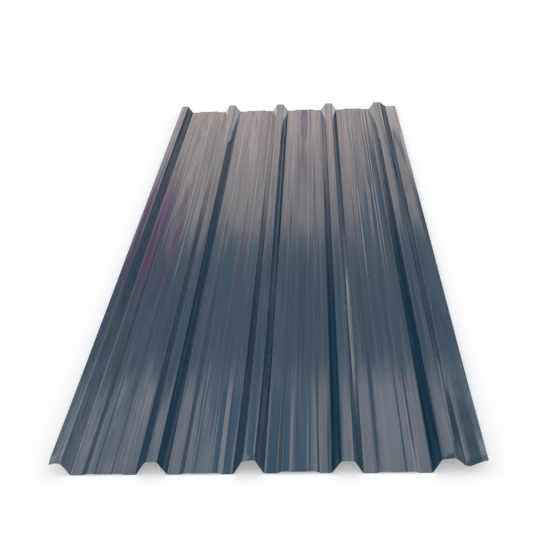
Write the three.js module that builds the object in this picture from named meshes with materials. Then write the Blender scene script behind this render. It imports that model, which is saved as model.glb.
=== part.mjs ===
// A roll-formed trapezoidal roofing sheet in pre-painted steel, lying flat with its ribs up.
//
// One sheet of steel 0.5 mm thick is bent into five ribs. Each pan between them has a shallow
// raised band with a slight recess along its middle. Along its left edge the sheet ends on the
// first rib's crown. Along its right edge the fifth rib's outer flank stops part way down and
// turns out into a side lap, which ends in a narrow lip.
//
// The sheet has been handled. Its right edge is bent up, more so towards the near end. Over a
// short length there the ribs stand higher and rounder, the third leans over to the left, and
// the third pan is clear of the ground. Right at that end the outer ribs' crowns and the
// third's are curled out of level.
//
// Millimetres, +Z up. The length runs along Y with the near end at -Y, the width along X with
// the first rib at -X. The origin is the middle of the sheet's box, on the ground.

import * as THREE from 'three';

// ---- driving dimensions ----

// The sheet
const LENGTH = 3000; // along the ribs
const THICKNESS = 0.5; // painted steel

// The ribs
const RIB_COUNT = 5;
const RIB_PITCH = 250; // centre to centre
const RIB_HEIGHT = 35; // from the ground to the top of a crown
const RIB_BASE_WIDTH = 78; // foot to foot, at the pan
const RIB_CROWN_WIDTH = 31; // corner to corner, at the top
const RIB_BEND_RADIUS = { far: 5, dented: 9 }; // middle of the sheet, at feet and crown corners

// The shallow raised band along the middle of each pan
const BAND_BASE_WIDTH = { far: 104, dented: 110 };
const BAND_TOP_WIDTH = 86;
const BAND_HEIGHT = 4;
const BAND_BEND_RADIUS = 10;

// The slight recess along the middle of each band
const RECESS_TOP_WIDTH = 48;
const RECESS_FLOOR_WIDTH = 38;
const RECESS_DEPTH = 0.8;
const RECESS_BEND_RADIUS = 8;

// The left edge: the first rib's crown, which ends in a narrow strip turned down
const FIRST_CROWN_WIDTH = { far: 28, near: 25.5 };
const FIRST_CORNER_RADIUS = { far: 5, dented: 20 }; // where that crown turns down to the pan
const EDGE_STRIP = 2.5;
const EDGE_STRIP_ANGLE = 30; // degrees below the crown
const EDGE_BEND_RADIUS = 2;

// The right edge: the last rib's outer flank, opened out, the side lap that it turns into and
// the lip along the lap
const OUTER_CORNER_SHIFT = 1.5; // of the last rib's outer crown corner, across
const OUTER_CORNER_LIFT = { far: 1, near: 3 };
const OUTER_FLANK = { far: 36, dented: 43 }; // down its slope, from corner to corner
const OUTER_FLANK_ANGLE = { far: 38, near: 37, dented: 45 }; // degrees below level
const LAP_WIDTH = { far: 38, near: 41 };
const LAP_TILT = { far: 0, near: 15, dented: 24 }; // degrees above level
const LAP_BEND_RADIUS = { far: 5, dented: 16 };
const LIP_WIDTH = 14.5;
const LIP_TILT = { far: -4, near: 9, dented: 15 }; // degrees above level
const LIP_BEND_RADIUS = 8;

// The near end, knocked out of shape: how far the left and right feet and crown corners of each
// rib are out across, how far those corners are up, and how much further up they are curled
const DENTED_LENGTH = 600;
const CURLED_LENGTH = 30;
const DENTED_RIBS = [
  { feet: [0, 1], corners: [1, 2], rises: [5.5, 7], curls: [-5.5, 0] },
  { feet: [-2, 0], corners: [1, -1], rises: [5.5, 6], curls: [0, 0] },
  { feet: [-3, -3], corners: [-4, -3], rises: [7, 7.5], curls: [-2.5, 2.5] },
  { feet: [-3, -1], corners: [-2, 0], rises: [3.5, 3.5], curls: [0, 0] },
  { feet: [1, 0], corners: [-1, 0.5], rises: [6.5, 6.5], curls: [0, 2] },
];
const LIFTED_PAN = { pan: 2, feet: 2, band: 3.5 }; // how far its feet and its band are up

// Facets: points round each sharp and each slight bend between its two ends, and stretches
// along the length
const BEND_STEPS = 3;
const SLIGHT_BEND_STEPS = 1;
const CURLED_STRETCHES = 2;
const DENTED_STRETCHES = 4;
const STRAIGHT_STRETCHES = 4;

// ---- the section ----

const radians = (degrees) => (degrees * Math.PI) / 180;

// Height of the sheet's middle line in the pans and on the crowns
const PAN_LINE = THICKNESS / 2;
const CROWN_LINE = RIB_HEIGHT - THICKNESS / 2;

const ribCentre = (rib) => (rib - (RIB_COUNT - 1) / 2) * RIB_PITCH;

// A place along the sheet has a nearness, from 0 at the far end to 1 at the near end, and a dent
// and a curl, the shares that the near end's dents and curls count for there: 1 at that end, and
// fading out ever more gently over their lengths. A size that changes along the sheet goes in a
// straight line from far to near, and by its share the dent turns it to dented.
function sizeAt({ far, near = far, dented }, place) {
  const straight = THREE.MathUtils.lerp(far, near, place.nearness);
  return dented === undefined ? straight : THREE.MathUtils.lerp(straight, dented, place.dent);
}

// A corner of the section's middle line: where two straight stretches would meet
const corner = (x, z, radius, steps = BEND_STEPS) => ({
  point: new THREE.Vector2(x, z),
  radius,
  steps,
});

// How far a rib's left (0) or right (1) side is out of place
function dentOf(rib, side, place) {
  const { feet, corners, rises, curls } = DENTED_RIBS[rib] ?? DENTED_RIBS.at(-1);
  return {
    foot: feet[side] * place.dent,
    corner: corners[side] * place.dent,
    rise: rises[side] * place.dent + curls[side] * place.curl,
  };
}

// The height of a pan's feet
const footLine = (pan, place) =>
  PAN_LINE + (pan === LIFTED_PAN.pan ? LIFTED_PAN.feet * place.dent : 0);

function risingFlank(rib, place) {
  const dent = dentOf(rib, 0, place);
  const footX = ribCentre(rib) - RIB_BASE_WIDTH / 2 + dent.foot;
  const crownX = ribCentre(rib) - RIB_CROWN_WIDTH / 2 + dent.corner;
  const radius = sizeAt(RIB_BEND_RADIUS, place);
  return [
    corner(footX, footLine(rib - 1, place), radius),
    corner(crownX, CROWN_LINE + dent.rise, radius),
  ];
}

function fallingFlank(rib, place) {
  const dent = dentOf(rib, 1, place);
  const crownX = ribCentre(rib) + RIB_CROWN_WIDTH / 2 + dent.corner;
  const footX = ribCentre(rib) + RIB_BASE_WIDTH / 2 + dent.foot;
  const crownRadius = rib === 0 ? FIRST_CORNER_RADIUS : RIB_BEND_RADIUS;
  return [
    corner(crownX, CROWN_LINE + dent.rise, sizeAt(crownRadius, place)),
    corner(footX, footLine(rib, place), sizeAt(RIB_BEND_RADIUS, place)),
  ];
}

// The raised band of a pan and the recess along it, from left to right
function panBand(pan, place) {
  const centre = ribCentre(pan) + RIB_PITCH / 2;
  const foot = footLine(pan, place);
  const top = PAN_LINE + BAND_HEIGHT + (pan === LIFTED_PAN.pan ? LIFTED_PAN.band * place.dent : 0);
  const leftHalf = [
    [sizeAt(BAND_BASE_WIDTH, place), foot, BAND_BEND_RADIUS, BEND_STEPS],
    [BAND_TOP_WIDTH, top, BAND_BEND_RADIUS, BEND_STEPS],
    [RECESS_TOP_WIDTH, top, RECESS_BEND_RADIUS, SLIGHT_BEND_STEPS],
    [RECESS_FLOOR_WIDTH, top - RECESS_DEPTH, RECESS_BEND_RADIUS, SLIGHT_BEND_STEPS],
  ];
  const half = (side) => ([width, z, ...bend]) => corner(centre + (side * width) / 2, z, ...bend);
  return [...leftHalf.map(half(-1)), ...leftHalf.reverse().map(half(1))];
}

// The free left edge, from its tip to the first rib's crown
function leftEdge(place) {
  const dent = dentOf(0, 0, place);
  const right = ribCentre(0) + RIB_CROWN_WIDTH / 2;
  const crownX = right - sizeAt(FIRST_CROWN_WIDTH, place) + dent.corner;
  const crownZ = CROWN_LINE + dent.rise;
  const angle = radians(EDGE_STRIP_ANGLE);
  return [
    corner(crownX - EDGE_STRIP * Math.cos(angle), crownZ - EDGE_STRIP * Math.sin(angle), 0),
    corner(crownX, crownZ, EDGE_BEND_RADIUS),
  ];
}

// The last rib's outer crown corner, its outer flank, the side lap and its lip, out to the tip
function rightEdge(place) {
  const last = RIB_COUNT - 1;
  const dent = dentOf(last, 1, place);
  let x = ribCentre(last) + RIB_CROWN_WIDTH / 2 + OUTER_CORNER_SHIFT + dent.corner;
  let z = CROWN_LINE + sizeAt(OUTER_CORNER_LIFT, place) + dent.rise;
  const corners = [corner(x, z, sizeAt(RIB_BEND_RADIUS, place))];
  const run = (width, tilt, ...bend) => {
    x += width * Math.cos(radians(tilt));
    z += width * Math.sin(radians(tilt));
    corners.push(corner(x, z, ...bend));
  };
  const fall = sizeAt(OUTER_FLANK_ANGLE, place);
  run(sizeAt(OUTER_FLANK, place), -fall, sizeAt(LAP_BEND_RADIUS, place));
  run(sizeAt(LAP_WIDTH, place), sizeAt(LAP_TILT, place), LIP_BEND_RADIUS, SLIGHT_BEND_STEPS);
  run(LIP_WIDTH, sizeAt(LIP_TILT, place), 0);
  return corners;
}

// The section's corners from left to right at a place along the sheet
function sectionCorners(place) {
  const corners = leftEdge(place);
  for (let pan = 0; pan < RIB_COUNT - 1; pan += 1) {
    corners.push(...fallingFlank(pan, place));
    corners.push(...panBand(pan, place));
    corners.push(...risingFlank(pan + 1, place));
  }
  corners.push(...rightEdge(place));
  return corners;
}

// Turns the corners into the two faces of the sheet: the middle line with an arc round each
// bend, offset by half the thickness to each side.
function sheetFaces(corners) {
  const half = THICKNESS / 2;
  const upper = [];
  const lower = [];
  const add = (point, normal) => {
    upper.push(point.clone().addScaledVector(normal, half));
    lower.push(point.clone().addScaledVector(normal, -half));
  };
  const directionTo = (from, to) => to.point.clone().sub(from.point).normalize();
  const leftOf = (direction) => new THREE.Vector2(-direction.y, direction.x);

  const last = corners.length - 1;
  add(corners[0].point, leftOf(directionTo(corners[0], corners[1])));
  for (let i = 1; i < last; i += 1) {
    const { point, radius, steps } = corners[i];
    const before = directionTo(corners[i - 1], corners[i]);
    const after = directionTo(corners[i], corners[i + 1]);
    const turn = Math.atan2(before.cross(after), before.dot(after));
    const side = Math.sign(turn);
    const arcStart = point.clone().addScaledVector(before, -radius * Math.tan(Math.abs(turn) / 2));
    const arcCentre = arcStart.addScaledVector(leftOf(before), side * radius);
    for (let step = 0; step <= steps + 1; step += 1) {
      const swept = (turn * step) / (steps + 1);
      const normal = leftOf(before).rotateAround(new THREE.Vector2(), swept);
      add(arcCentre.clone().addScaledVector(normal, -side * radius), normal);
    }
  }
  add(corners[last].point, leftOf(directionTo(corners[last - 1], corners[last])));
  return { upper, lower };
}

// The closed outline of the section: the lower face to the right, then the upper face back
function sectionOutline(place) {
  const { upper, lower } = sheetFaces(sectionCorners(place));
  return [...lower, ...upper.reverse()];
}

// ---- the sheet ----

// Distances from the near end at which the sheet has a section of its own
function stations() {
  const distances = [0];
  const stretchTo = (end, stretches) => {
    const start = distances.at(-1);
    for (let i = 1; i <= stretches; i += 1) {
      distances.push(THREE.MathUtils.lerp(start, end, i / stretches));
    }
  };
  stretchTo(CURLED_LENGTH, CURLED_STRETCHES);
  stretchTo(DENTED_LENGTH, DENTED_STRETCHES);
  stretchTo(LENGTH, STRAIGHT_STRETCHES);
  return distances;
}

// The share that a bend counts for at a distance from the near end
const fading = (distance, length) => Math.max(0, 1 - distance / length) ** 2;

// The outer surface between the sections: two triangles for each side of each stretch
function sideTriangles(stationCount, outlineCount) {
  const indices = [];
  for (let station = 0; station < stationCount - 1; station += 1) {
    const here = station * outlineCount;
    const next = here + outlineCount;
    for (let i = 0; i < outlineCount; i += 1) {
      const j = (i + 1) % outlineCount;
      indices.push(here + i, next + j, here + j, here + i, next + i, next + j);
    }
  }
  return indices;
}

// A cut end: a row of quads between the lower and the upper face, seen from the near side
function endTriangles(first, outlineCount) {
  const indices = [];
  const last = first + outlineCount - 1;
  for (let i = 0; i < outlineCount / 2 - 1; i += 1) {
    const lower = first + i;
    const upper = last - i;
    indices.push(lower, lower + 1, upper - 1, lower, upper - 1, upper);
  }
  return indices;
}

function sheetGeometry() {
  const distances = stations();
  const positions = [];
  let outlineCount = 0;
  for (const distance of distances) {
    const outline = sectionOutline({
      nearness: 1 - distance / LENGTH,
      dent: fading(distance, DENTED_LENGTH),
      curl: fading(distance, CURLED_LENGTH),
    });
    outline.forEach((point) => positions.push(point.x, distance - LENGTH / 2, point.y));
    outlineCount = outline.length;
  }

  const farEnd = (distances.length - 1) * outlineCount;
  const geometry = new THREE.BufferGeometry();
  geometry.setAttribute('position', new THREE.Float32BufferAttribute(positions, 3));
  geometry.setIndex([
    ...sideTriangles(distances.length, outlineCount),
    ...endTriangles(0, outlineCount),
    ...endTriangles(farEnd, outlineCount).reverse(),
  ]);
  geometry.computeVertexNormals();
  geometry.computeBoundingBox();
  return geometry;
}

// ---- the part ----

const paintedSteel = new THREE.MeshStandardMaterial({
  color: 0x24394a,
  roughness: 0.3,
  metalness: 0.0,
  flatShading: true,
});

const geometry = sheetGeometry();
const { min, max } = geometry.boundingBox;

const sheet = new THREE.Mesh(geometry, paintedSteel);
sheet.name = 'roofing_sheet';
sheet.position.x = -(min.x + max.x) / 2;

const part = new THREE.Group();
part.add(sheet);

export default part;
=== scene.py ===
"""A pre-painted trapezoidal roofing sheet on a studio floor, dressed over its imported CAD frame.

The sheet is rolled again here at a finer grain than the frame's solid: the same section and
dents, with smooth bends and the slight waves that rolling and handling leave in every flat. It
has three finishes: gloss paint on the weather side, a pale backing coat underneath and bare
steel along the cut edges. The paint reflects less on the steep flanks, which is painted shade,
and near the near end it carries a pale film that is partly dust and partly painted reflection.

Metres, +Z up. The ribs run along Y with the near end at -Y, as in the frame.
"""

import math
from typing import NamedTuple

import bpy
import numpy as np
from mathutils import Matrix, Vector


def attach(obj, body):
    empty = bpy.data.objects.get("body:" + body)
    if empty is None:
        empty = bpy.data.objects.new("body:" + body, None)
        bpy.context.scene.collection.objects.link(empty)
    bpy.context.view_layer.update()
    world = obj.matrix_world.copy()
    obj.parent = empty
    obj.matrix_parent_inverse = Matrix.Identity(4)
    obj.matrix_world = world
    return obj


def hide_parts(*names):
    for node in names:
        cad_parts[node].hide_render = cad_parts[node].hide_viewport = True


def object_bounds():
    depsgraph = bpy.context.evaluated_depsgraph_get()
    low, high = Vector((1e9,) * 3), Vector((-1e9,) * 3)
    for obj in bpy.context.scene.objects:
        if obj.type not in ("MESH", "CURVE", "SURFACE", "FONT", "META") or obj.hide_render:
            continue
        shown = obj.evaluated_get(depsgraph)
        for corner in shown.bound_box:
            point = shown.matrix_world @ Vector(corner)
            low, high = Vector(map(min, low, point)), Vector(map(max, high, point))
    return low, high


bl_info = {
    "name": "Trapezoidal Roofing Sheet",
    "version": (1, 0, 0),
    "blender": (4, 5, 0),
    "location": "View3D > Sidebar > Roofing",
    "description": "Rolls a pre-painted trapezoidal roofing sheet and lays it on a studio floor",
    "category": "Add Mesh",
}

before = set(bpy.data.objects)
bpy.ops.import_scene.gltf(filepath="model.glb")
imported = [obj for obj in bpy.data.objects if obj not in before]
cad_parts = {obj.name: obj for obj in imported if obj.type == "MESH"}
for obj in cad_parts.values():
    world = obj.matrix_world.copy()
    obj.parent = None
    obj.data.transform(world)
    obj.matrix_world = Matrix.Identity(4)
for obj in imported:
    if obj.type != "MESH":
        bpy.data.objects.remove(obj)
CAD_LOW, CAD_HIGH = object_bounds()
SHEET_NODE = "roofing_sheet"

# Attribute that carries each point's place on the flat strip before rolling: across and along
ROLLED = "rolled"


# ---- sizes and colours that a user would change ----


def length(name, description, default):
    """A length property in metres."""
    return bpy.props.FloatProperty(
        name=name, description=description, default=default, unit="LENGTH", precision=5
    )


def angle(name, description, degrees):
    """An angle property."""
    return bpy.props.FloatProperty(
        name=name, description=description, default=math.radians(degrees), unit="ROTATION"
    )


def share(name, description, default):
    """A property that runs from 0 to 1."""
    return bpy.props.FloatProperty(
        name=name, description=description, default=default, min=0, max=1, subtype="FACTOR"
    )


def colour(name, description, default):
    """A linear RGB colour property."""
    return bpy.props.FloatVectorProperty(
        name=name, description=description, default=default, size=3, min=0, subtype="COLOR"
    )


class RoofingProfile(bpy.types.PropertyGroup):
    """The rolled section and how handling has bent it.

    A size with near or dented values changes along the sheet: see size_at
    """

    thickness: length("Thickness", "Painted steel", 0.0005)
    rib_count: bpy.props.IntProperty(name="Ribs", description="Ribs across", default=5, min=2)
    pitch: length("Pitch", "Rib centre to rib centre", 0.250)
    rib_height: length("Rib Height", "Ground to the top of a crown", 0.035)
    rib_base: length("Rib Base", "Foot to foot", 0.078)
    rib_crown: length("Rib Crown", "Corner to corner", 0.031)
    rib_bend: length("Rib Bend", "Radius at feet and crown corners", 0.005)
    rib_bend_dented: length("Rib Bend, Dented", "The same at the near end", 0.009)
    band_base: length("Band Base", "Raised band of a pan, at its foot", 0.104)
    band_base_dented: length("Band Base, Dented", "The same at the near end", 0.110)
    band_top: length("Band Top", "Raised band of a pan, at its top", 0.086)
    band_height: length("Band Height", "Raised band above its pan", 0.004)
    band_bend: length("Band Bend", "Radius at the band's corners", 0.010)
    recess_top: length("Recess Top", "Slight recess along the band, edge to edge", 0.048)
    recess_floor: length("Recess Floor", "Recess, across its floor", 0.038)
    recess_depth: length("Recess Depth", "Recess below the band's top", 0.0008)
    recess_bend: length("Recess Bend", "Radius at the recess's corners", 0.008)
    first_crown: length("First Crown", "Crown of the first rib", 0.028)
    first_crown_near: length("First Crown, Near", "The same towards the near end", 0.0255)
    first_bend: length("First Bend", "Radius where that crown turns down", 0.005)
    first_bend_dented: length("First Bend, Dented", "The same at the near end", 0.020)
    edge_strip: length("Edge Strip", "Strip turned down along the left edge", 0.0025)
    edge_angle: angle("Edge Angle", "Edge strip below the crown", 30)
    edge_bend: length("Edge Bend", "Radius at the edge strip", 0.002)
    corner_shift: length("Corner Shift", "Last rib's outer crown corner, across", 0.0015)
    corner_lift: length("Corner Lift", "Last rib's outer crown corner, up", 0.001)
    corner_lift_near: length("Corner Lift, Near", "The same towards the near end", 0.003)
    outer_flank: length("Outer Flank", "Down the last rib's outer flank", 0.036)
    outer_flank_dented: length("Outer Flank, Dented", "The same at the near end", 0.043)
    outer_fall: angle("Outer Fall", "Outer flank below level", 38)
    outer_fall_near: angle("Outer Fall, Near", "The same towards the near end", 37)
    outer_fall_dented: angle("Outer Fall, Dented", "The same at the near end", 45)
    lap: length("Lap", "Side lap up to its lip", 0.038)
    lap_near: length("Lap, Near", "The same towards the near end", 0.041)
    lap_tilt: angle("Lap Tilt", "Side lap above level", 0)
    lap_tilt_near: angle("Lap Tilt, Near", "The same towards the near end", 15)
    lap_tilt_dented: angle("Lap Tilt, Dented", "The same at the near end", 24)
    lap_bend: length("Lap Bend", "Radius between outer flank and lap", 0.005)
    lap_bend_dented: length("Lap Bend, Dented", "The same at the near end", 0.016)
    lip: length("Lip", "Lip along the lap", 0.0145)
    lip_tilt: angle("Lip Tilt", "Lip above level", -4)
    lip_tilt_near: angle("Lip Tilt, Near", "The same towards the near end", 9)
    lip_tilt_dented: angle("Lip Tilt, Dented", "The same at the near end", 15)
    lip_bend: length("Lip Bend", "Radius between lap and lip", 0.008)
    dented_length: length("Dented Length", "Near end knocked out of shape", 0.600)
    curled_length: length("Curled Length", "Crowns curled out of level at the near end", 0.030)
    pan_lift: length("Pan Lift", "Third pan's feet at the near end", 0.002)
    band_lift: length("Band Lift", "Third pan's band at the near end", 0.0035)


class RoofingWaves(bpy.types.PropertyGroup):
    """How far the flats of the sheet are from flat"""

    flat_step: length("Flat Step", "Widest facet across a flat", 0.0075)
    near_step: length("Near Step", "Facet length over the dented end", 0.0085)
    far_step: length("Far Step", "Facet length over the rest", 0.037)
    crowning: length("Crowning", "Most that the widest flat bulges along its middle", 0.00018)
    ripple: length("Ripple", "Most that the widest flat waves along its length", 0.00020)
    lap_wave: length("Lap Wave", "Side lap up at the near end, and then down", 0.0017)
    lap_wave_length: length("Lap Wave Length", "From there to where it is lowest", 0.42)
    ripple_short: length("Short Ripple", "Shortest wave", 0.35)
    ripple_long: length("Long Ripple", "Longest wave", 1.1)
    seed: bpy.props.IntProperty(name="Seed", description="Random waves", default=11)


class RoofingFinish(bpy.types.PropertyGroup):
    """Paint, backing coat and cut steel"""

    paint: colour("Paint", "Gloss top coat", (0.002, 0.041, 0.081))
    paint_ior: bpy.props.FloatProperty(
        name="Paint IOR", description="Strength of the top coat's reflection", default=2.0
    )
    paint_roughness: share("Paint Roughness", "Top coat", 0.07)
    backing: colour("Backing", "Coat on the underside", (0.52, 0.53, 0.52))
    backing_roughness: share("Backing Roughness", "Coat on the underside", 0.45)
    steel: colour("Steel", "Cut edges", (0.45, 0.46, 0.47))
    flat_gloss: share("Flat Gloss", "Specular level of the flats", 0.5)
    # Painted shade: the steep flanks reflect less than the flats of the same paint, so they read
    # darker
    shaded_flank_gloss: share("Flank Gloss", "Specular level of the steep flanks", 0.22)
    flank_held: share("Flank Held", "Dust and scuffs on the flanks, against the flats", 0.2)
    dust: colour("Dust", "Dry film left in streaks", (0.36, 0.34, 0.33))
    dust_share: share("Dust Share", "Most that the streaks cover", 0.14)
    # Painted reflection and dust: a pale film that makes the first rib and the lip paler towards
    # the near end
    first_film_reflection: colour("First Film", "Dry film on the first rib's flank", (0.31, 0.37, 0.39))
    first_share: share("First Share", "Most that this film covers, at the near end", 0.44)
    crown_share: share("Crown Share", "The same on the first rib's crown", 0.20)
    lip_share: share("Lip Share", "The same on the lip of the side lap", 0.16)
    scratch: colour("Scratch", "Fine scuffs along the sheet", (0.50, 0.50, 0.50))
    scratch_share: share("Scratch Share", "Most that the scuffs cover", 0.16)


class RoofingStage(bpy.types.PropertyGroup):
    """Floor and sky"""

    floor: colour("Floor", "Studio floor", (0.86, 0.87, 0.88))
    floor_glow: share("Floor Glow", "Light that the floor adds where it is seen", 0.25)
    floor_size: length("Floor Size", "Side of the floor", 400.0)
    haze: colour("Haze", "Pale sky near the horizon", (1.34, 1.10, 1.00))
    haze_above: colour("Haze Above", "The same haze where it meets the belt", (0.96, 0.83, 0.76))
    belt: colour("Belt", "Dark belt above the haze", (0.305, 0.355, 0.43))
    overcast: colour("Overcast", "Sky above the belt", (1.06, 1.03, 1.05))
    zenith: colour("Zenith", "Sky overhead, at the sides and behind", (0.90, 0.91, 0.92))
    haze_top: angle("Haze Top", "Where the haze ends", 24.7)
    belt_top: angle("Belt Top", "Where the dark belt ends", 32.7)


# ---- the rolled surface ----


class DentedRib(NamedTuple):
    """How far a rib's left and right feet and crown corners are out across at the near end, how
    far those corners are up, and how much further up they are curled, in metres."""

    feet: tuple
    corners: tuple
    rises: tuple
    curls: tuple


DENTED_RIBS = (
    DentedRib((0, 0.001), (0.001, 0.002), (0.0055, 0.007), (-0.0055, 0)),
    DentedRib((-0.002, 0), (0.001, -0.001), (0.0055, 0.006), (0, 0)),
    DentedRib((-0.003, -0.003), (-0.004, -0.003), (0.007, 0.0075), (-0.0025, 0.0025)),
    DentedRib((-0.003, -0.001), (-0.002, 0), (0.0035, 0.0035), (0, 0)),
    DentedRib((0.001, 0), (-0.001, 0.0005), (0.0065, 0.0065), (0, 0.002)),
)
# The pan whose feet and band are up at the near end, counted from 0
LIFTED_PAN = 2
# How many times lap_wave_length the side lap's wave takes to fade
LAP_WAVE_FADING = 3
# Most degrees that one facet of a bend turns
FACET_TURN = 10
# How a flat's ripple is shared between its two waves
RIPPLE_SHARES = (0.65, 0.35)
# Two points of the section closer together than this, in metres, are one
SAME_POINT = 1e-9
# The flanks' paint starts where the sheet is steeper than this upright part of its normal. It is
# painted shade: a copy of the top coat that reflects less, so that the flanks read darker
STEEP = 0.80
# Where each face's material stands in the sheet's list
FLAT, FLANK, UNDERSIDE, EDGE = range(4)


class Places(NamedTuple):
    """Places along the sheet: distances from its near end, their nearness, which falls in a
    straight line from 1 at the near end to 0 at the far end, and their dent and curl, which fade
    from 1 at the near end over their lengths as (1 - distance / length) squared. The side lap
    is up by lap_wave * cos(pi * distance / lap_wave_length) there, which fades in the same way
    over LAP_WAVE_FADING times that length."""

    along: np.ndarray
    nearness: np.ndarray
    dent: np.ndarray
    curl: np.ndarray
    lap_wave: np.ndarray


def places_along(profile, waves):
    """Places close together over the dented length and further apart beyond it."""
    full = CAD_HIGH.y - CAD_LOW.y
    near_count = math.ceil(profile.dented_length / waves.near_step)
    far_count = math.ceil((full - profile.dented_length) / waves.far_step)
    near = np.linspace(0, profile.dented_length, near_count, endpoint=False)
    far = np.linspace(profile.dented_length, full, far_count + 1)
    along = np.concatenate([near, far])

    def fading(extent):
        return np.clip(1 - along / extent, 0, 1) ** 2

    wave = waves.lap_wave * np.cos(math.pi * along / waves.lap_wave_length)
    return Places(
        along=along,
        nearness=1 - along / full,
        dent=fading(profile.dented_length),
        curl=fading(profile.curled_length),
        lap_wave=wave * fading(LAP_WAVE_FADING * waves.lap_wave_length),
    )


def size_at(profile, name, places):
    """A size at every place: straight from its far value to its near one, if it has one, and
    over the dented length on to its dented one, if it has one."""
    far = getattr(profile, name)
    near = getattr(profile, name + "_near", far)
    straight = far + (near - far) * places.nearness
    dented = getattr(profile, name + "_dented", None)
    return straight if dented is None else straight + (dented - straight) * places.dent


def section_corners(profile, places):
    """Corners of the middle line from left to right, where its straight stretches would meet.

    Returns their x and z as an array of places by corners by two, and the bend radius of each
    as an array of places by corners.
    """
    corners, radii = [], []
    last = profile.rib_count - 1
    pan_line = profile.thickness / 2
    crown_line = profile.rib_height - profile.thickness / 2

    def at(name):
        return size_at(profile, name, places)

    def put(x, z, radius):
        everywhere = np.zeros_like(places.nearness)
        corners.append(np.stack([x + everywhere, z + everywhere], axis=1))
        radii.append(radius + everywhere)

    def dent(rib, side):
        """Foot and crown corner across, and the corner up, at every place. Ribs past the last one
        listed are dented as that one is."""
        rib = DENTED_RIBS[min(rib, len(DENTED_RIBS) - 1)]
        rise = rib.rises[side] * places.dent + rib.curls[side] * places.curl
        return rib.feet[side] * places.dent, rib.corners[side] * places.dent, rise

    def centre(rib):
        return (rib - last / 2) * profile.pitch

    def pan_lift(pan, lift):
        return lift * places.dent if pan == LIFTED_PAN else 0

    def left_edge():
        _, shift, rise = dent(0, 0)
        x = centre(0) + profile.rib_crown / 2 - at("first_crown") + shift
        z = crown_line + rise
        strip, fall = profile.edge_strip, profile.edge_angle
        put(x - strip * math.cos(fall), z - strip * math.sin(fall), 0)
        put(x, z, profile.edge_bend)

    def rising_flank(rib):
        foot, shift, rise = dent(rib, 0)
        foot_line = pan_line + pan_lift(rib - 1, profile.pan_lift)
        put(centre(rib) - profile.rib_base / 2 + foot, foot_line, at("rib_bend"))
        put(centre(rib) - profile.rib_crown / 2 + shift, crown_line + rise, at("rib_bend"))

    def falling_flank(rib):
        foot, shift, rise = dent(rib, 1)
        foot_line = pan_line + pan_lift(rib, profile.pan_lift)
        crown_bend = at("first_bend") if rib == 0 else at("rib_bend")
        put(centre(rib) + profile.rib_crown / 2 + shift, crown_line + rise, crown_bend)
        put(centre(rib) + profile.rib_base / 2 + foot, foot_line, at("rib_bend"))

    def band(pan):
        middle = centre(pan) + profile.pitch / 2
        foot = pan_line + pan_lift(pan, profile.pan_lift)
        top = pan_line + profile.band_height + pan_lift(pan, profile.band_lift)
        left_half = (
            (at("band_base"), foot, profile.band_bend),
            (profile.band_top, top, profile.band_bend),
            (profile.recess_top, top, profile.recess_bend),
            (profile.recess_floor, top - profile.recess_depth, profile.recess_bend),
        )
        for width, z, radius in left_half:
            put(middle - width / 2, z, radius)
        for width, z, radius in reversed(left_half):
            put(middle + width / 2, z, radius)

    def right_edge():
        _, shift, rise = dent(last, 1)
        x = centre(last) + profile.rib_crown / 2 + profile.corner_shift + shift
        z = crown_line + at("corner_lift") + rise
        put(x, z, at("rib_bend"))
        for width, tilt, radius in (
            (at("outer_flank"), -at("outer_fall"), at("lap_bend")),
            (at("lap"), at("lap_tilt"), profile.lip_bend),
            (profile.lip, at("lip_tilt"), 0),
        ):
            x = x + width * np.cos(tilt)
            z = z + width * np.sin(tilt)
            put(x, z + places.lap_wave, radius)

    left_edge()
    for pan in range(last):
        falling_flank(pan)
        band(pan)
        rising_flank(pan + 1)
    right_edge()
    return np.stack(corners, axis=1), np.stack(radii, axis=1)


def arc_points(start, before, turn, radius):
    """Points inside a tangent arc that leaves start along the direction before and turns by turn:
    start + radius * sin(swept) ahead + radius * (1 - cos(swept)) to the side it turns to."""
    steps = max(2, math.ceil(abs(math.degrees(turn[0])) / FACET_TURN))
    swept = turn[:, None] * (np.arange(1, steps) / steps)[None, :]
    side = np.sign(turn)[:, None]
    normal = np.stack([-before[:, 1], before[:, 0]], axis=1)
    ahead = (radius[:, None] * np.sin(np.abs(swept)))[..., None] * before[:, None]
    aside = (side * radius[:, None] * (1 - np.cos(swept)))[..., None] * normal[:, None]
    return start[:, None] + ahead + aside


def rounded(corners, radii, flat_step):
    """The middle line as points, with a tangent arc in every corner and steps along every flat.

    An arc of radius r in a corner that turns by a starts r * tan(a / 2) before it and ends as
    far after it. Returns the points as places by points by two, and for each point the number
    of its flat and how far across it the point is, from 0 to 1. A point on an arc is at 1 on
    the flat before it.
    """
    step = corners[:, 1:] - corners[:, :-1]
    direction = step / np.linalg.norm(step, axis=2, keepdims=True)
    points, flats, shares = [], [], []
    leaves = corners[:, 0]
    last = corners.shape[1] - 1
    for i in range(1, last + 1):
        before = direction[:, i - 1]
        arrives = corners[:, i]
        if i < last:
            after = direction[:, i]
            cross = before[:, 0] * after[:, 1] - before[:, 1] * after[:, 0]
            turn = np.arctan2(cross, (before * after).sum(axis=1))
            setback = (radii[:, i] * np.tan(np.abs(turn) / 2))[:, None]
            arrives = corners[:, i] - before * setback
        flat_length = np.linalg.norm(arrives - leaves, axis=1)[0]
        t = np.linspace(0, 1, max(1, math.ceil(flat_length / flat_step)) + 1)
        points.append(leaves[:, None] + (arrives - leaves)[:, None] * t[None, :, None])
        flats.append(np.full(len(t), i - 1))
        shares.append(t)
        if i < last:
            bend = arc_points(arrives, before, turn, radii[:, i])
            points.append(bend)
            flats.append(np.full(bend.shape[1], i - 1))
            shares.append(np.ones(bend.shape[1]))
            leaves = corners[:, i] + after * setback
    return np.concatenate(points, axis=1), np.concatenate(flats), np.concatenate(shares)


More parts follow.
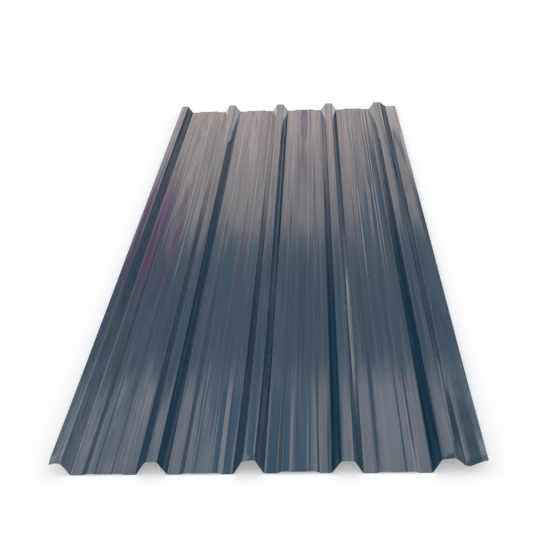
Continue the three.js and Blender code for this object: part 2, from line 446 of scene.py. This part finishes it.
def waviness(waves, flats, shares, across, along):
    """How far each point of the middle surface stands off its flat, towards the weather side.

    Each flat has a bulge along its middle, crowning times a random number from -1 to 1, and two
    waves along its length, each its share of ripple * sin(2 * pi * along / wave + phase), all in
    proportion to its width. They fade to nothing at the bends as sin(pi * share), so the bends
    stay straight.
    """
    rng = np.random.default_rng(waves.seed)
    count = flats.max() + 1
    bulge = waves.crowning * rng.uniform(-1, 1, count)[flats]
    starts = np.searchsorted(flats, np.arange(count))
    width = np.diff(across[np.append(starts, len(flats) - 1)])
    wide = (width / width.max())[flats]
    offset = np.zeros((len(along), len(flats)))
    for share_of_ripple in RIPPLE_SHARES:
        wave = rng.uniform(waves.ripple_short, waves.ripple_long, count)
        phase = rng.uniform(0, 2 * math.pi, count)
        turns = 2 * math.pi * along[:, None] / wave[None, :] + phase[None, :]
        offset += share_of_ripple * waves.ripple * np.sin(turns)[:, flats]
    return (offset + bulge[None, :]) * (wide * np.sin(math.pi * shares))[None, :]


def surface_normals(grid, across, along):
    """Unit normals of a surface on a grid: the cross product of its two slopes."""
    by_along = np.gradient(grid, along, axis=0)
    by_across = np.gradient(grid, across, axis=1)
    normal = np.cross(by_across, by_along)
    return normal / np.linalg.norm(normal, axis=2, keepdims=True)


def rolled_surface(profile, waves):
    """The sheet's middle surface and its normals, as arrays of places by points by three.

    Also returns each point's distance across the strip before rolling, and each place's
    distance along it.
    """
    places = places_along(profile, waves)
    along = places.along
    corners, radii = section_corners(profile, places)
    line, flats, shares = rounded(corners, radii, waves.flat_step)
    steps = np.linalg.norm(np.diff(line[-1], axis=0), axis=1)
    across = np.concatenate([[0], np.cumsum(steps)])
    # A corner that doesn't turn has its points in one place, and only one of them is kept
    kept = np.concatenate([[True], steps > SAME_POINT])
    line, flats, shares, across = line[:, kept], flats[kept], shares[kept], across[kept]

    grid = np.empty((*line.shape[:2], 3))
    grid[..., 0] = line[..., 0]
    grid[..., 1] = CAD_LOW.y + along[:, None]
    grid[..., 2] = CAD_LOW.z + line[..., 1]
    normals = surface_normals(grid, across, along)
    offset = waviness(waves, flats, shares, across, along)
    # On the ground a flat can only rise
    resting = grid[..., 2] - CAD_LOW.z < profile.thickness
    grid += np.where(resting, np.abs(offset), offset)[..., None] * normals
    return grid, surface_normals(grid, across, along), across, along


def skin_faces(rows, columns):
    """Quads of a closed skin on a grid of rows by columns points, with the underside's points
    after the upper ones: the upper face, the underside and the cut edges. Also returns the
    numbers of the upper points round the rim."""
    below = rows * columns
    number = np.arange(below).reshape(rows, columns)
    near_left, near_right = number[:-1, :-1], number[:-1, 1:]
    far_right, far_left = number[1:, 1:], number[1:, :-1]
    top = np.stack([near_left, near_right, far_right, far_left], axis=-1).reshape(-1, 4)
    bottom = top[:, ::-1] + below
    rim = np.concatenate([number[0, :-1], number[:-1, -1], number[-1, :0:-1], number[:0:-1, 0]])
    rim_next = np.roll(rim, -1)
    edge = np.stack([rim + below, rim_next + below, rim_next, rim], axis=-1)
    return top, bottom, edge, rim


def crease(mesh, rim):
    """Marks the edges between the rim's points, on the upper face and on the underside, as
    sharp, so that the cut edges stay crisp."""
    on_rim = np.zeros((2, len(mesh.vertices) // 2), dtype=bool)
    on_rim[:, rim] = True
    ends = np.empty(2 * len(mesh.edges), dtype=np.int32)
    mesh.edges.foreach_get("vertices", ends)
    sharp = mesh.attributes.new("sharp_edge", "BOOLEAN", "EDGE")
    sharp.data.foreach_set("value", on_rim.reshape(-1)[ends.reshape(-1, 2)].all(axis=1))


def keep_rolled_places(mesh, across, along):
    """Gives each point of both faces its place on the flat strip before rolling."""
    place = np.zeros((len(along), len(across), 3), dtype=np.float32)
    place[..., 0] = across[None, :]
    place[..., 1] = along[:, None]
    rolled = mesh.attributes.new(ROLLED, "FLOAT_VECTOR", "POINT")
    rolled.data.foreach_set("vector", np.tile(place.reshape(-1), 2))


def sheet_mesh(profile, waves):
    """The closed skin: the middle surface offset by half the thickness to each side, and a
    strip of quads round the cut edges. It starts at the left side of the frame's box and stays
    inside the box."""
    grid, normals, across, along = rolled_surface(profile, waves)
    upper = grid + normals * (profile.thickness / 2)
    lower = grid - normals * (profile.thickness / 2)
    skin = np.concatenate([upper.reshape(-1, 3), lower.reshape(-1, 3)])
    skin[:, 0] += CAD_LOW.x - skin[:, 0].min()
    for axis in range(3):
        skin[:, axis] = np.clip(skin[:, axis], CAD_LOW[axis], CAD_HIGH[axis])

    top, bottom, edge, rim = skin_faces(*grid.shape[:2])
    faces = np.concatenate([top, bottom, edge])
    material = np.repeat([FLAT, UNDERSIDE, EDGE], [len(top), len(bottom), len(edge)])
    upright = normals[..., 2].reshape(-1)[top].mean(axis=1)
    # Steep faces take the flanks' copy of the paint, which reflects less: painted shade
    material[: len(top)][upright < STEEP] = FLANK

    mesh = bpy.data.meshes.new("roofing_sheet_skin")
    mesh.from_pydata(skin.tolist(), [], faces.tolist())
    mesh.polygons.foreach_set("material_index", material.astype(np.int32))
    mesh.polygons.foreach_set("use_smooth", np.ones(len(faces), dtype=bool))
    crease(mesh, rim)
    keep_rolled_places(mesh, across, along)
    mesh.update()
    return mesh


# ---- materials ----


class Pattern(NamedTuple):
    """A stretched noise: how many features it has across and along, for each metre of the flat
    strip or degree of the sky, how many finer layers, and between which values it sets in."""

    across: float
    along: float
    detail: float
    low: float = 0.0
    high: float = 1.0


class Graph:
    """A short way to write a node tree. A call adds its nodes and returns their last output."""

    # A Mix node has several sockets of each name, so its colour ones are known by their numbers
    MIX_FACTOR, MIX_FIRST, MIX_SECOND, MIX_RESULT = 0, 6, 7, 2

    def __init__(self, tree):
        self.tree = tree
        tree.nodes.clear()

    def node(self, kind, inputs=None, **settings):
        """Adds a node, links its inputs or gives them values, and returns the node itself."""
        made = self.tree.nodes.new(kind)
        for key, value in settings.items():
            setattr(made, key, value)
        for key, value in (inputs or {}).items():
            socket = made.inputs[key]
            if isinstance(value, bpy.types.NodeSocket):
                self.tree.links.new(value, socket)
            else:
                socket.default_value = value
        return made

    def math(self, operation, *values):
        """One step of arithmetic on outputs and numbers."""
        inputs = dict(enumerate(values))
        return self.node("ShaderNodeMath", inputs, operation=operation).outputs[0]

    def ramp(self, value, low, high, to_low=0.0, to_high=1.0):
        """value from low to high, eased into to_low to to_high."""
        inputs = {
            "Value": value,
            "From Min": low,
            "From Max": high,
            "To Min": to_low,
            "To Max": to_high,
        }
        made = self.node("ShaderNodeMapRange", inputs, interpolation_type="SMOOTHSTEP")
        return made.outputs["Result"]

    def mix(self, factor, first, second):
        """Mixes two colours."""
        inputs = {self.MIX_FACTOR: factor, self.MIX_FIRST: first, self.MIX_SECOND: second}
        return self.node("ShaderNodeMix", inputs, data_type="RGBA").outputs[self.MIX_RESULT]

    def scaled(self, colour, factor):
        """A colour times a number."""
        inputs = {0: colour, "Scale": factor}
        return self.node("ShaderNodeVectorMath", inputs, operation="SCALE").outputs[0]

    def tinted(self, colour, tint):
        """A colour times another one."""
        inputs = {0: colour, 1: tint}
        return self.node("ShaderNodeVectorMath", inputs, operation="MULTIPLY").outputs[0]

    def bump(self, height, strength, depth, over=None):
        """The surface's normal, or the one given by over, bent by a relief depth metres deep."""
        inputs = {"Height": height, "Strength": strength, "Distance": depth}
        if over is not None:
            inputs["Normal"] = over
        return self.node("ShaderNodeBump", inputs).outputs["Normal"]

    def noise(self, vector, scale, detail):
        """A noise that is the same in every direction."""
        inputs = {"Vector": vector, "Scale": scale, "Detail": detail}
        return self.node("ShaderNodeTexNoise", inputs).outputs["Fac"]

    def stretched_noise(self, vector, pattern):
        """The pattern's noise, before it sets in."""
        inputs = {"Vector": vector, "Scale": (pattern.across, pattern.along, 1)}
        stretched = self.node("ShaderNodeMapping", inputs).outputs["Vector"]
        return self.noise(stretched, 1.0, pattern.detail)

    def pattern(self, vector, pattern, to_low=0.0, to_high=1.0):
        """The pattern, eased from to_low to to_high."""
        noise = self.stretched_noise(vector, pattern)
        return self.ramp(noise, pattern.low, pattern.high, to_low, to_high)

    def within(self, value, low, high, soft):
        """1 where value is between low and high, and 0 outside, with edges soft to each side."""
        inside = self.ramp(value, low - soft, low + soft)
        return self.math("MULTIPLY", inside, self.ramp(value, high - soft, high + soft, 1, 0))

    def card(self, card, height, bearing, behind):
        """Lays a soft-edged card over the colour behind it."""
        if card.lean:
            above = self.math("SUBTRACT", height, card.low)
            bearing = self.math("SUBTRACT", bearing, self.math("MULTIPLY", above, card.lean))
        inside = self.math(
            "MULTIPLY",
            self.within(height, card.low, card.high, card.soft_height),
            self.within(bearing, card.left, card.right, card.soft_bearing),
        )
        return self.mix(inside, behind, rgba(card.colour))


def rgba(value):
    """A colour with its alpha, as a colour socket takes it."""
    return (*value, 1.0)


def darkened(value, factor):
    """A colour with each channel times factor."""
    return tuple(factor * channel for channel in value)


def new_material(name):
    """A new material and the graph of its empty node tree."""
    material = bpy.data.materials.new(name)
    material.use_nodes = True
    return material, Graph(material.node_tree)


def finish_material(graph, inputs):
    """Ends a material in a principled shader with these inputs."""
    shader = graph.node("ShaderNodeBsdfPrincipled", inputs)
    graph.node("ShaderNodeOutputMaterial", {"Surface": shader.outputs["BSDF"]})


def rolled_place(graph):
    """Each point's place on the flat strip: x across it and y along it."""
    attribute = graph.node(
        "ShaderNodeAttribute", attribute_name=ROLLED, attribute_type="GEOMETRY"
    )
    return attribute.outputs["Vector"]


# Patterns of the top coat
STREAKS = Pattern(70, 0.5, 3, 0.40, 0.75)
FINE_STREAKS = Pattern(320, 1.6, 3, 0.3, 0.8)
SCUFFS = Pattern(420, 0.9, 2, 0.62, 0.74)
FILM_REFLECTION_PATCHES = Pattern(60, 6, 2, 0.2, 0.7)
ROLLING_LINES = Pattern(70, 2.2, 3)
# Pale specks: their noise's scale and the values between which they set in
SPECK_SCALE = 260
SPECKS = (0.78, 0.80)
SPECK_COLOUR = (0.45, 0.45, 0.45)
# Depths are in metres
ROLLING_LINE_STRENGTH = 1.0
ROLLING_LINE_DEPTH = 0.0001
# Orange peel in the gloss
PEEL_SCALE = 420
PEEL_STRENGTH = 0.5
PEEL_DEPTH = 0.000004
# The streaks' values between which the coat grows rougher, and by how much
DULLED = (0.3, 0.8)
DULLED_BY = 0.05

# Pale film, partly dust and partly painted reflection, across the flat strip, in metres: the
# first rib's flank from its start to its end, and the start of the lip, with the softness of the
# film's edges on the flank, the crown and the lip
FIRST_FLANK = (0.031, 0.072)
LIP_START = 1.251
FLANK_SOFT = 0.006
CROWN_SOFT = 0.012
LIP_SOFT = 0.003
# Along it: where the film on the first crown and on the lip starts to fade, and where it ends
SHORT_FILM_REFLECTION = (0.25, 0.55)
# On the flank it fades over this length to this share of what it was
LONG_FILM_REFLECTION = 1.2
FADED_SHARE = 0.3
# Between its patches the flank has this share of it
THIN_SHARE = 0.5

# Backing coat: its rolling lines and their relief, and the share of its colour where it is thin
BACKING_LINES = Pattern(240, 2, 4, 0.35, 0.7)
BACKING_LINE_STRENGTH = 0.4
BACKING_LINE_DEPTH = 0.00003
BACKING_DARKEST = 0.86

# Cut steel: the scale of its grain's noise, the values between which it sets in, and the share
# of the steel's colour where it is darkest
STEEL_GRAIN_SCALE = 900
STEEL_GRAIN = (0.3, 0.7)
STEEL_DARKEST = 0.55
STEEL_ROUGHNESS = 0.42


def film_and_reflection(graph, rolled, finish):
    """How much pale film covers each point, partly dust and partly painted reflection: in patches
    on the first rib's flank, and on its crown and on the lip near the near end."""
    place = graph.node("ShaderNodeSeparateXYZ", {"Vector": rolled}).outputs
    across, along = place["X"], place["Y"]
    flank_start = FIRST_FLANK[0]
    on_flank = graph.within(across, *FIRST_FLANK, FLANK_SOFT)
    on_crown = graph.ramp(across, flank_start - CROWN_SOFT, flank_start, finish.crown_share, 0)
    on_lip = graph.ramp(across, LIP_START - LIP_SOFT, LIP_START + LIP_SOFT, 0, finish.lip_share)
    near = graph.ramp(along, *SHORT_FILM_REFLECTION, 1, 0)
    short_film_reflection = graph.math("MULTIPLY", graph.math("MAXIMUM", on_crown, on_lip), near)
    patches = graph.pattern(rolled, FILM_REFLECTION_PATCHES, THIN_SHARE, 1)
    first_share = finish.first_share
    faded = graph.ramp(along, 0, LONG_FILM_REFLECTION, first_share, FADED_SHARE * first_share)
    long_film_reflection = graph.math("MULTIPLY", on_flank, graph.math("MULTIPLY", faded, patches))
    return graph.math("MAXIMUM", long_film_reflection, short_film_reflection)


def top_coat(name, finish, gloss, held):
    """Gloss paint over rolled steel: fine lines along the rolling direction, scuffs and a dry
    film of dust in streaks, and a few pale specks. held is the share of scuffs and dust that
    stays on faces of this slope. gloss is the coat's specular level. The steep flanks get a lower
    one, which is painted shade."""
    material, graph = new_material(name)
    rolled = rolled_place(graph)
    streaks = graph.stretched_noise(rolled, STREAKS)
    in_streaks = graph.ramp(streaks, STREAKS.low, STREAKS.high)
    dust = graph.math("MULTIPLY", in_streaks, graph.pattern(rolled, FINE_STREAKS))
    dusty = graph.math("MULTIPLY", dust, held * finish.dust_share)
    scuffed = graph.pattern(rolled, SCUFFS, 0, held * finish.scratch_share)
    specks = graph.ramp(graph.noise(rolled, SPECK_SCALE, detail=1), *SPECKS)

    paint = graph.mix(dusty, rgba(finish.paint), rgba(finish.dust))
    # Painted reflection and dust: the pale film on the first rib and on the lip
    paint = graph.mix(film_and_reflection(graph, rolled, finish), paint, rgba(finish.first_film_reflection))
    paint = graph.mix(scuffed, paint, rgba(finish.scratch))
    paint = graph.mix(specks, paint, rgba(SPECK_COLOUR))

    smooth = finish.paint_roughness
    relief = graph.stretched_noise(rolled, ROLLING_LINES)
    lines = graph.bump(relief, ROLLING_LINE_STRENGTH, ROLLING_LINE_DEPTH)
    peel = graph.noise(rolled, PEEL_SCALE, detail=1)
    inputs = {
        "Base Color": paint,
        "Roughness": graph.ramp(streaks, *DULLED, smooth, smooth + DULLED_BY),
        "IOR": finish.paint_ior,
        "Specular IOR Level": gloss,
        "Normal": graph.bump(peel, PEEL_STRENGTH, PEEL_DEPTH, over=lines),
    }
    finish_material(graph, inputs)
    return material


def backing_coat(finish):
    """Thin pale primer on the underside, with the steel's rolling lines showing through."""
    material, graph = new_material("backing_coat")
    lines = graph.stretched_noise(rolled_place(graph), BACKING_LINES)
    thick = graph.ramp(lines, BACKING_LINES.low, BACKING_LINES.high)
    darker = darkened(finish.backing, BACKING_DARKEST)
    inputs = {
        "Base Color": graph.mix(thick, rgba(darker), rgba(finish.backing)),
        "Roughness": finish.backing_roughness,
        "Normal": graph.bump(lines, BACKING_LINE_STRENGTH, BACKING_LINE_DEPTH),
    }
    finish_material(graph, inputs)
    return material


def cut_steel(finish):
    """Bare sheared steel along the edges, with the shear's fine grain."""
    material, graph = new_material("cut_steel")
    position = graph.node("ShaderNodeTexCoord").outputs["Object"]
    grain = graph.ramp(graph.noise(position, STEEL_GRAIN_SCALE, detail=3), *STEEL_GRAIN)
    darker = darkened(finish.steel, STEEL_DARKEST)
    inputs = {
        "Base Color": graph.mix(grain, rgba(darker), rgba(finish.steel)),
        "Metallic": 1.0,
        "Roughness": STEEL_ROUGHNESS,
    }
    finish_material(graph, inputs)
    return material


# ---- stage ----

# Where the camera stands, and how it is turned: down, to the left and counterclockwise
CAMERA_PLACE = Vector((0.1358, -3.4874, 1.5813))
CAMERA_DOWN = math.radians(27.148)
CAMERA_LEFT = math.radians(2.629)
CAMERA_ROLL = math.radians(-2.074)
# In millimetres
CAMERA_LENS = 63.95
CAMERA_SENSOR = 36.0


def place_camera():
    """A camera at standing height, 2 m off the near end, looking down along the sheet."""
    data = bpy.data.cameras.new("camera")
    data.lens = CAMERA_LENS
    data.sensor_width = CAMERA_SENSOR
    camera = bpy.data.objects.new("camera", data)
    bpy.context.scene.collection.objects.link(camera)
    forward = Vector(
        (
            -math.sin(CAMERA_LEFT) * math.cos(CAMERA_DOWN),
            math.cos(CAMERA_LEFT) * math.cos(CAMERA_DOWN),
            -math.sin(CAMERA_DOWN),
        )
    )
    level = Vector((math.cos(CAMERA_LEFT), math.sin(CAMERA_LEFT), 0))
    up = level.cross(forward)
    right = math.cos(CAMERA_ROLL) * level + math.sin(CAMERA_ROLL) * up
    up = right.cross(forward)
    turned = Matrix((right, up, -forward)).transposed().to_4x4()
    camera.matrix_world = Matrix.Translation(CAMERA_PLACE) @ turned
    bpy.context.scene.camera = camera


# The floor lies this far below the sheet, so that the two faces don't share a plane
FLOOR_GAP = 0.0002
FLOOR_ROUGHNESS = 0.9


def lay_floor(stage):
    """A pale floor that glows a little where it is seen, so that it reads as near white."""
    half = stage.floor_size / 2
    z = CAD_LOW.z - FLOOR_GAP
    corners = [(-half, -half, z), (half, -half, z), (half, half, z), (-half, half, z)]
    mesh = bpy.data.meshes.new("studio_floor")
    mesh.from_pydata(corners, [], [(0, 1, 2, 3)])
    floor = bpy.data.objects.new("studio_floor", mesh)
    bpy.context.scene.collection.objects.link(floor)
    material, graph = new_material("studio_floor")
    light_path = graph.node("ShaderNodeLightPath").outputs
    seen = graph.math("MAXIMUM", light_path["Is Camera Ray"], light_path["Is Glossy Ray"])
    seen = graph.math("MAXIMUM", seen, light_path["Is Transmission Ray"])
    inputs = {
        "Base Color": rgba(stage.floor),
        "Roughness": FLOOR_ROUGHNESS,
        "Specular IOR Level": 0.0,
        "Emission Color": rgba((1, 1, 1)),
        "Emission Strength": graph.math("MULTIPLY", seen, stage.floor_glow),
    }
    finish_material(graph, inputs)
    mesh.materials.append(material)


class SkyCard(NamedTuple):
    """A soft-edged patch of sky. Heights are degrees above the horizon, and bearings are
    degrees from +Y towards +X. soft_height and soft_bearing are half the widths of its soft
    edges. Its sides lean by so many degrees to the right for each degree above its low edge."""

    low: float
    high: float
    left: float
    right: float
    soft_height: float
    soft_bearing: float
    colour: tuple
    lean: float = 0.0


# Laid over the haze and the belt, in this order
LOW_CARDS = {
    "left_trees": SkyCard(-20, 25.5, -62, -21, 1.0, 2.2, (0.34, 0.34, 0.36)),
    "near_trees": SkyCard(14.2, 25.5, -30, -14.5, 1.0, 0.6, (0.26, 0.28, 0.31)),
    "right_wall": SkyCard(10, 25.0, 15, 62, 1.0, 0.9, (0.34, 0.35, 0.38)),
    "right_hedge": SkyCard(-20, 10, 15, 62, 1.0, 0.9, (0.19, 0.20, 0.23)),
    "magenta_cloth": SkyCard(21.0, 27.0, -12.5, -8.4, 0.9, 0.3, (0.58, 0.13, 0.37), -0.34),
    "pole": SkyCard(18.9, 25.2, 3.0, 5.2, 0.8, 0.2, (0.22, 0.25, 0.31)),
    "pole_foot": SkyCard(15, 19.6, 2.7, 3.15, 0.6, 0.1, (0.24, 0.26, 0.33)),
    "purple_post": SkyCard(10, 21.6, -1.0, -0.5, 0.4, 0.1, (0.50, 0.35, 0.45)),
    "purple_slip": SkyCard(10, 19.4, -4.4, -4.0, 0.4, 0.1, (0.80, 0.62, 0.68)),
    "dark_slip": SkyCard(19.3, 21.2, -4.8, -4.45, 0.4, 0.1, (0.55, 0.50, 0.55)),
}
# Laid over the overcast
HIGH_CARDS = {
    "bright_side": SkyCard(26.5, 38, 18.5, 28, 0.8, 0.6, (1.5, 1.45, 1.4)),
    "blue_gap": SkyCard(32.9, 46, -7.9, -0.9, 0.5, 0.25, (0.25, 0.40, 0.57)),
    "narrow_gap": SkyCard(32.9, 44, -13.5, -12.9, 0.6, 0.35, (0.60, 0.66, 0.73)),
    "far_gap": SkyCard(32.9, 44, -15.0, -14.4, 0.6, 0.3, (0.60, 0.66, 0.73)),
}
# Laid over both
WINDOW = SkyCard(10.4, 15.6, 22.3, 26.7, 1.4, 1.1, (2.4, 2.4, 2.4), 1.5)
# Laid over the sky once it is darker near the ground
LOW_WALL = SkyCard(-20, 2.0, 22.5, 40, 0.5, 1.5, (0.17, 0.18, 0.19))

# Heights and bearings below are in degrees, as on the cards

# Above this height the haze turns into its upper colour
HAZE_TURNS = 17.0
# Half the height over which the haze ends, and the belt
HAZE_SOFT = 0.4
BELT_SOFT = 0.3
# The belt's upper end comes down by this much on the right, between these bearings
BELT_DROP = 8.0
BELT_DROP_BEARINGS = (8.0, 27.0)
# Overcast turns into the plain sky overhead between these heights
OVERCAST_TURNS = (38.0, 50.0)
# Near the ground the sky has this share of its light, and above these heights all of it
GROUND_LIGHT = 0.12
GROUND_HEIGHTS = (1.0, 13.0)
# To the left of these bearings and below these heights it loses up to this share too
LEFT_LOSS = 0.97
LEFT_BEARINGS = (-28.0, -22.0)
LEFT_HEIGHTS = (10.0, 18.0)
# Upright streaks: wide ones everywhere, stronger in the haze, and thin ones in the haze alone.
# The least and most light that each leaves, and the heights, counted from the haze's top,
# between which those in the haze end
WIDE_STREAKS = Pattern(0.9, 0.05, 3, 0.3, 0.7)
THIN_STREAKS = Pattern(2.7, 0.08, 2, 0.35, 0.65)
SOFT_LIGHT = (0.64, 1.22)
STRONG_LIGHT = (0.44, 1.46)
THIN_LIGHT = (0.78, 1.22)
STRONG_END = (-1.5, 0.5)
# Patches of two faint tints
TINT_PATCHES = Pattern(2.3, 0.22, 3, 0.35, 0.65)
GREEN_TINT = (0.95, 1.02, 0.97)
PINK_TINT = (1.08, 0.98, 1.03)
# The sky turns plain between these bearings, to the left and to the right
PLAIN_BEARINGS = (40.0, 52.0)


def layered_sky(graph, stage, height, bearing):
    """From the ground up: haze, a dark belt, which ends lower on the right, and overcast, with
    the cards laid over them."""
    haze_top = math.degrees(stage.haze_top)
    upwards = graph.ramp(height, HAZE_TURNS, haze_top)
    haze = graph.mix(upwards, rgba(stage.haze), rgba(stage.haze_above))
    in_belt = graph.ramp(height, haze_top - HAZE_SOFT, haze_top + HAZE_SOFT)
    low = graph.mix(in_belt, haze, rgba(stage.belt))
    for card in LOW_CARDS.values():
        low = graph.card(card, height, bearing, low)

    overhead = graph.ramp(height, *OVERCAST_TURNS)
    high = graph.mix(overhead, rgba(stage.overcast), rgba(stage.zenith))
    for card in HIGH_CARDS.values():
        high = graph.card(card, height, bearing, high)

    drop = graph.ramp(bearing, *BELT_DROP_BEARINGS, 0.0, BELT_DROP)
    raised = graph.math("ADD", height, drop)
    over = graph.math("SUBTRACT", raised, math.degrees(stage.belt_top))
    sky = graph.mix(graph.ramp(over, -BELT_SOFT, BELT_SOFT), low, high)
    return graph.card(WINDOW, height, bearing, sky)


def darker_below(graph, sky, height, bearing):
    """The sky made darker close to the ground, most of all to the far left, and a low wall on
    the right."""
    sky = graph.scaled(sky, graph.ramp(height, *GROUND_HEIGHTS, GROUND_LIGHT, 1.0))
    left = graph.ramp(bearing, *LEFT_BEARINGS, 1.0, 0.0)
    low = graph.ramp(height, *LEFT_HEIGHTS, LEFT_LOSS, 0.0)
    sky = graph.scaled(sky, graph.math("SUBTRACT", 1.0, graph.math("MULTIPLY", left, low)))
    return graph.card(LOW_WALL, height, bearing, sky)


def streaked(graph, sky, haze_top, height, bearing):
    """The sky in upright streaks, strong and thin ones in the haze, and in faint tints."""
    place = graph.node("ShaderNodeCombineXYZ", {"X": bearing, "Y": height}).outputs[0]
    wide = graph.stretched_noise(place, WIDE_STREAKS)
    soft = graph.ramp(wide, WIDE_STREAKS.low, WIDE_STREAKS.high, *SOFT_LIGHT)
    strong = graph.ramp(wide, WIDE_STREAKS.low, WIDE_STREAKS.high, *STRONG_LIGHT)
    strong = graph.math("MULTIPLY", strong, graph.pattern(place, THIN_STREAKS, *THIN_LIGHT))
    starts, ends = STRONG_END
    in_haze = graph.ramp(height, haze_top + starts, haze_top + ends, 1.0, 0.0)
    sky = graph.mix(in_haze, graph.scaled(sky, soft), graph.scaled(sky, strong))
    patches = graph.pattern(place, TINT_PATCHES)
    return graph.tinted(sky, graph.mix(patches, rgba(GREEN_TINT), rgba(PINK_TINT)))


def light_world(stage):
    """A soft pale sky. In front it changes with height, and darker sides, gaps and posts break
    it up there, which the sheet mirrors in long streaks. The sides and the back are plain."""
    world = bpy.data.worlds.new("studio_sky")
    world.use_nodes = True
    bpy.context.scene.world = world
    graph = Graph(world.node_tree)
    direction = graph.node("ShaderNodeTexCoord").outputs["Generated"]
    split = graph.node("ShaderNodeSeparateXYZ", {"Vector": direction}).outputs
    height = graph.math("DEGREES", graph.math("ARCSINE", split["Z"]))
    bearing = graph.math("DEGREES", graph.math("ARCTAN2", split["X"], split["Y"]))

    sky = layered_sky(graph, stage, height, bearing)
    sky = darker_below(graph, sky, height, bearing)
    sky = streaked(graph, sky, math.degrees(stage.haze_top), height, bearing)
    aside = graph.ramp(graph.math("ABSOLUTE", bearing), *PLAIN_BEARINGS)
    sky = graph.mix(aside, sky, rgba(stage.zenith))
    background = graph.node("ShaderNodeBackground", {"Color": sky, "Strength": 1.0})
    graph.node("ShaderNodeOutputWorld", {"Surface": background.outputs["Background"]})


# ---- operators ----


class ROOFING_OT_roll_sheet(bpy.types.Operator):
    """Roll the sheet, give it its finishes and put it where the frame's solid lies"""

    bl_idname = "roofing.roll_sheet"
    bl_label = "Roll Sheet"

    def execute(self, context):
        scene = context.scene
        mesh = sheet_mesh(scene.roofing_profile, scene.roofing_waves)
        finish = scene.roofing_finish
        for material in (
            top_coat("gloss_top_coat", finish, finish.flat_gloss, 1.0),
            # The flanks' copy of the paint reflects less than the flats' copy: painted shade
            top_coat("shaded_flank_top_coat", finish, finish.shaded_flank_gloss, finish.flank_held),
            backing_coat(finish),
            cut_steel(finish),
        ):
            mesh.materials.append(material)
        sheet = bpy.data.objects.new("rolled_sheet", mesh)
        scene.collection.objects.link(sheet)
        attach(sheet, "root")
        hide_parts(SHEET_NODE)
        return {"FINISHED"}


class ROOFING_OT_set_stage(bpy.types.Operator):
    """Lay the floor, light the sky and place the camera"""

    bl_idname = "roofing.set_stage"
    bl_label = "Set Stage"

    def execute(self, context):
        stage = context.scene.roofing_stage
        place_camera()
        lay_floor(stage)
        light_world(stage)
        context.scene.view_settings.view_transform = "Standard"
        return {"FINISHED"}


class ROOFING_PT_panel(bpy.types.Panel):
    """Lists the operators and the sizes they read"""

    bl_label = "Roofing Sheet"
    bl_idname = "ROOFING_PT_panel"
    bl_space_type = "VIEW_3D"
    bl_region_type = "UI"
    bl_category = "Roofing"

    def draw(self, context):
        layout = self.layout
        for operator in OPERATORS:
            layout.operator(operator.bl_idname)
        for name in GROUPS:
            group = getattr(context.scene, name)
            box = layout.box()
            for prop in group.__annotations__:
                box.prop(group, prop)


GROUPS = {
    "roofing_profile": RoofingProfile,
    "roofing_waves": RoofingWaves,
    "roofing_finish": RoofingFinish,
    "roofing_stage": RoofingStage,
}
OPERATORS = (ROOFING_OT_roll_sheet, ROOFING_OT_set_stage)


def register():
    for cls in (*GROUPS.values(), *OPERATORS, ROOFING_PT_panel):
        bpy.utils.register_class(cls)
    for name, cls in GROUPS.items():
        setattr(bpy.types.Scene, name, bpy.props.PointerProperty(type=cls))


def unregister():
    for name in GROUPS:
        delattr(bpy.types.Scene, name)
    for cls in (ROOFING_PT_panel, *OPERATORS, *GROUPS.values()):
        bpy.utils.unregister_class(cls)


def main():
    register()
    bpy.ops.roofing.set_stage()
    bpy.ops.roofing.roll_sheet()


if __name__ == "__main__":
    main()
